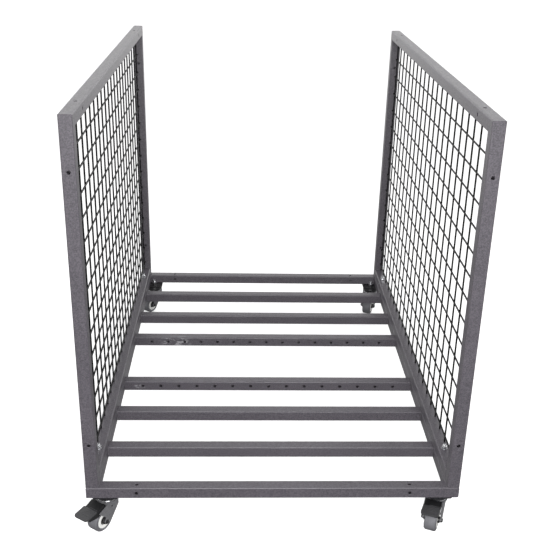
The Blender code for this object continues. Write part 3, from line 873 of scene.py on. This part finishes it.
def race(caster):
    """The swivel's cup, widest at its waist, with the ball track's groove and two bright rolled rims."""
    node = f"swivel_race_{caster.name}"
    low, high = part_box(node)
    height = high.z - low.z
    middle = (low.z + high.z) / 2
    lip = RACE_RADIUS - RACE_LIP
    groove = RACE_RADIUS - RACE_LIP / 3
    bore = STEM_RADIUS + GAP
    profile = [
        (bore, high.z),
        (lip, high.z),
        (RACE_RADIUS, middle + height / 8),
        (RACE_RADIUS, middle),
        (groove, middle - height / 12),
        (groove, middle - height / 6),
        (RACE_RADIUS - RACE_LIP / 6, middle - height / 4),
        (lip, low.z),
        (bore, low.z),
    ]
    cup = turned(softened(profile, height / 16), FINER)
    piece(f"race_{caster.name}", cup, RACE_STEEL, "frame", [node], caster.matrix)
    rims = [
        ring(RACE_RADIUS - RACE_RING_RADIUS, middle + height / 16, RACE_RING_RADIUS),
        ring(lip + RACE_RING_RADIUS, low.z + RACE_RING_RADIUS, RACE_RING_RADIUS),
    ]
    piece(f"race_rims_{caster.name}", joined("rims", rims), ZINC, "frame", (), caster.matrix)


def leg_outline(caster, crown_top):
    """The fork's side: a wide leg that slants back to its heel, and a narrow round tongue at the axle."""
    middle = Vector((TRAIL, caster.radius))
    heel = middle + LEG_HEEL_FROM_AXLE
    nose = middle + LEG_NOSE_FROM_AXLE
    edge = nose - heel
    slant = math.atan2(edge.y, edge.x)
    tongue = arc(middle, TONGUE_RADIUS, slant + math.pi, slant + 2 * math.pi, TONGUE_STEPS)
    to_edge = (middle - heel).project(edge) - (middle - heel)
    crown_bottom = crown_top - CROWN
    return [
        Vector((-LEG_BACK, crown_top)),
        Vector((-LEG_BACK, crown_bottom - LEG_WAIST)),
        heel,
        tongue[0] + to_edge,
        *tongue,
        tongue[-1] + to_edge,
        nose,
        Vector((CROWN_FRONT, crown_bottom)),
        Vector((CROWN_FRONT, crown_top)),
    ]


def fork(caster, braked):
    """A pressed channel: a round crown, and two legs down to the axle."""
    node = f"caster_fork_{caster.name}"
    crown_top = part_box(node)[1].z
    outer = FORK_INNER + FORK_SHEET
    legs = prism(leg_outline(caster, crown_top), -outer, outer)
    legs.transform(Matrix.Rotation(math.pi / 2, 4, "X"))
    room = RACE_RADIUS + 2 * TRAIL
    steps = [
        ("UNION", cylinder(RACE_RADIUS, CROWN, FINER, (0, 0, crown_top - CROWN / 2))),
        ("DIFFERENCE", block((-room, -FORK_INNER, -caster.radius), (room, FORK_INNER, crown_top - CROWN))),
        ("DIFFERENCE", cylinder(STEM_RADIUS + GAP, 4 * CROWN, FINE, (0, 0, crown_top))),
        ("DIFFERENCE", cylinder(AXLE_RADIUS + GAP, 4 * outer, FINE, (TRAIL, 0, caster.radius), "y")),
    ]
    if braked:
        pin = caster.matrix.inverted() @ Vector(joints[f"brake_press_{caster.name}"]["pos_m"])
        steps.append(("DIFFERENCE", cylinder(BRAKE_PIN_BORE, 4 * outer, FINE, pin, "y")))
    steps.append(("BEVEL", FORK_SHEET / 5, 3))
    mesh = worked(node, legs, steps)
    piece(f"fork_{caster.name}", mesh, FORK_COAT, caster.fork, [node], caster.matrix)


def wheel(caster):
    """Tyre with rounded shoulders on a hub with a wide outer ring, and a dark shielded bearing at each side
    whose dark steel over the hub's recess is also painted shade of that recess.
    """
    half = TREAD_WIDTH / 2
    seat = HUB_RADIUS + GAP / 3
    shoulder = Vector((caster.radius - TREAD_ROUND, half - TREAD_ROUND))
    tread = [Vector((seat, half - GAP)), *arc(shoulder, TREAD_ROUND, math.pi / 2, 0, SHOULDER_STEPS)]
    tread += [Vector((radius, -height)) for radius, height in reversed(tread)]
    tyre = turned(tread, FINEST)
    bore = AXLE_RADIUS + GAP / 3
    boss = FORK_INNER - 2 * GAP
    web = half - HUB_RECESS
    ring_edge = HUB_RADIUS - HUB_RING
    side = [(bore, web), (ring_edge, web), (ring_edge, half), (HUB_RADIUS, half)]
    hub = turned(softened(side + [(radius, -height) for radius, height in reversed(side)], HUB_EDGE), FINER)
    # The dark disc covers the hub's recess floor out to the ring: a bearing's shield, and painted shade of the
    # recess.
    shield = web + BEARING_AND_SHADE_SHIELD
    bearing = [
        (bore, boss),
        (HUB_BOSS_RADIUS, boss),
        (HUB_BOSS_RADIUS, shield),
        (ring_edge - GAP, shield),
        (ring_edge - GAP, web),
        (bore, web),
    ]
    bearings = []
    for end in (-1, 1):
        bearings.append(turned(softened([(radius, end * height) for radius, height in bearing], GAP)))
    place = caster.matrix @ caster.axle_turn
    name, body = caster.name, caster.wheel
    piece(f"tyre_{name}", tyre, TYRE_RUBBER, body, [f"caster_tyre_{name}"], place)
    piece(f"hub_{name}", hub, HUB_PLASTIC, body, [f"caster_hub_{name}"], place)
    # Dark steel at each side of the hub: a bearing, and painted shade over the hub's recess.
    piece(f"bearings_{name}", joined("bearings", bearings), RACE_STEEL, body, (), place)


def axle(caster):
    """The axle pin, whose heads are domed."""
    reach = FORK_INNER + FORK_SHEET + GAP
    side = [Vector((AXLE_HEAD_RADIUS * wide, reach + AXLE_HEAD * high)) for wide, high in AXLE_DOME]
    side.append(Vector((AXLE_RADIUS, reach)))
    pin = turned(side + [Vector((point.x, -point.y)) for point in reversed(side)])
    name, place = caster.name, caster.matrix @ caster.axle_turn
    piece(f"axle_{name}", pin, RACE_STEEL, caster.fork, [f"caster_axle_{name}"], place)


def pedal_ribs(caster, pedal):
    """Grip ribs across the foot pedal's top face."""
    face = max((p for p in pedal.polygons if p.normal.z > 0.5), key=lambda p: p.area)
    across = Matrix.Rotation(caster.heading, 3, "Z") @ Vector((0, 1, 0))
    along = across.cross(face.normal)
    turn = Matrix((along, across, face.normal)).transposed().to_4x4()
    ribs = []
    for index in range(PEDAL_RIBS):
        step = (index - (PEDAL_RIBS - 1) / 2) * PEDAL_RIB_PITCH
        rib = block(-PEDAL_RIB / 2, PEDAL_RIB / 2)
        rib.transform(Matrix.Translation(face.center + along * step) @ turn)
        ribs.append(rib)
    return joined("ribs", ribs)


def brake(caster):
    """The black lever with its shoe and pin, and the grey foot pedal with its ribs."""
    lever_node = f"brake_lever_{caster.name}"
    mesh = worked(lever_node, frame["nodes"][lever_node].data.copy(), [("BEVEL", LEVER_EDGE, 3)])
    piece(f"lever_{caster.name}", mesh, BRAKE_PLASTIC, caster.brake, [lever_node])
    pedal_node = f"brake_pedal_{caster.name}"
    source = frame["nodes"][pedal_node].data.copy()
    ribs = worked("ribs", pedal_ribs(caster, source), [("BEVEL", RIB_EDGE, 2)])
    mesh = worked(pedal_node, source, [("BEVEL", PEDAL_EDGE, 3)])
    piece(f"pedal_{caster.name}", mesh, PEDAL_COAT, caster.brake, [pedal_node])
    piece(f"pedal_ribs_{caster.name}", ribs, PEDAL_COAT, caster.brake)


# Floor, light and camera


def studio():
    bm = bmesh.new()
    bmesh.ops.create_grid(bm, x_segments=1, y_segments=1, size=FLOOR_REACH)
    floor = bpy.data.objects.new("floor", finish_mesh(bm, "floor"))
    for polygon in floor.data.polygons:
        if polygon.normal.z < 0:
            floor.data.flip_normals()
            break
    bpy.context.scene.collection.objects.link(floor)
    look = Shading("floor_look", FLOOR_WHITE, FLOOR_ROUGHNESS)
    look.set("Emission Color", (1, 1, 1, 1))
    look.set("Emission Strength", FLOOR_SHINE)
    floor.data.materials.append(look.material)
    floor.visible_diffuse = False
    floor.visible_glossy = False

    world = bpy.data.worlds.new("studio")
    bpy.context.scene.world = world
    world.use_nodes = True
    tree = world.node_tree
    background = tree.nodes["Background"]
    background.inputs["Strength"].default_value = GLOW
    place = tree.nodes.new("ShaderNodeTexCoord")
    split = tree.nodes.new("ShaderNodeSeparateXYZ")
    tree.links.new(place.outputs["Generated"], split.inputs["Vector"])
    height = tree.nodes.new("ShaderNodeMapRange")
    height.inputs["From Min"].default_value = -1
    tree.links.new(split.outputs["Z"], height.inputs["Value"])
    glow = tree.nodes.new("ShaderNodeValToRGB")
    fill_ramp(glow, [((level + 1) / 2, (share, share, share)) for level, share in GLOW_BY_HEIGHT])
    tree.links.new(height.outputs["Result"], glow.inputs["Fac"])
    behind = tree.nodes.new("ShaderNodeMapRange")
    behind.inputs["From Min"].default_value = -FRONT_TO_BACK
    behind.inputs["From Max"].default_value = FRONT_TO_BACK
    behind.inputs["To Min"].default_value = FRONT_GLOW
    tree.links.new(split.outputs["Y"], behind.inputs["Value"])
    both = tree.nodes.new("ShaderNodeMath")
    both.operation = "MULTIPLY"
    tree.links.new(glow.outputs["Color"], both.inputs[0])
    tree.links.new(behind.outputs["Result"], both.inputs[1])
    # The camera sees the backdrop plain white, whatever light comes from it.
    seen = tree.nodes.new("ShaderNodeLightPath")
    shown = tree.nodes.new("ShaderNodeMath")
    shown.operation = "MAXIMUM"
    tree.links.new(both.outputs["Value"], shown.inputs[0])
    tree.links.new(seen.outputs["Is Camera Ray"], shown.inputs[1])
    tree.links.new(shown.outputs["Value"], background.inputs["Color"])

    lamps = (
        ("overhead", OVERHEAD_LAMP, OVERHEAD_LAMP_AIM, OVERHEAD_LAMP_SIZE, OVERHEAD_LAMP_POWER),
        ("front_lamp", FRONT_LAMP, FRONT_LAMP_AIM, FRONT_LAMP_SIZE, FRONT_LAMP_POWER),
    )
    for name, spot, target, size, power in lamps:
        lamp = bpy.data.lights.new(name, "AREA")
        lamp.shape = "SQUARE"
        lamp.size = size
        lamp.energy = power
        item = bpy.data.objects.new(name, lamp)
        item.location = spot
        item.rotation_euler = (target - spot).to_track_quat("-Z", "Y").to_euler()
        bpy.context.scene.collection.objects.link(item)


def photo_camera():
    forward = Vector(
        (
            math.sin(CAMERA_YAW) * math.cos(CAMERA_PITCH),
            math.cos(CAMERA_YAW) * math.cos(CAMERA_PITCH),
            -math.sin(CAMERA_PITCH),
        )
    )
    level = Vector((math.cos(CAMERA_YAW), -math.sin(CAMERA_YAW), 0))
    down = forward.cross(level)
    right = level * math.cos(CAMERA_ROLL) + down * math.sin(CAMERA_ROLL)
    down = down * math.cos(CAMERA_ROLL) - level * math.sin(CAMERA_ROLL)
    data = bpy.data.cameras.new("photo_view")
    data.lens = CAMERA_LENS
    data.sensor_width = SENSOR_WIDTH
    camera = bpy.data.objects.new("photo_view", data)
    turn = Matrix((right, -down, -forward)).transposed()
    camera.matrix_world = Matrix.Translation(CAMERA_PLACE) @ turn.to_4x4()
    bpy.context.scene.collection.objects.link(camera)
    bpy.context.scene.camera = camera


joints = {joint["name"]: joint for joint in frame["record"]["behaviour"]["joints"]}
width = 2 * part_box("base_rail_right")[1].x
depth = 2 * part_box("base_rail_rear")[1].y
base_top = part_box("base_rail_front")[1].z

bpy.context.scene.view_settings.view_transform = "Standard"
photo_camera()
studio()
base_frame()
side_panel("left", -1)
side_panel("right", 1)
base_welds()
panel_welds("left", -1)
panel_welds("right", 1)
for bolt_name in BOLTS:
    panel_bolt(bolt_name)
for caster_name in CORNERS:
    current = Caster(caster_name)
    has_brake = caster_name.startswith("front")
    corner_plate(current)
    stem(current)
    race(current)
    fork(current, has_brake)
    wheel(current)
    axle(current)
    if has_brake:
        brake(current)
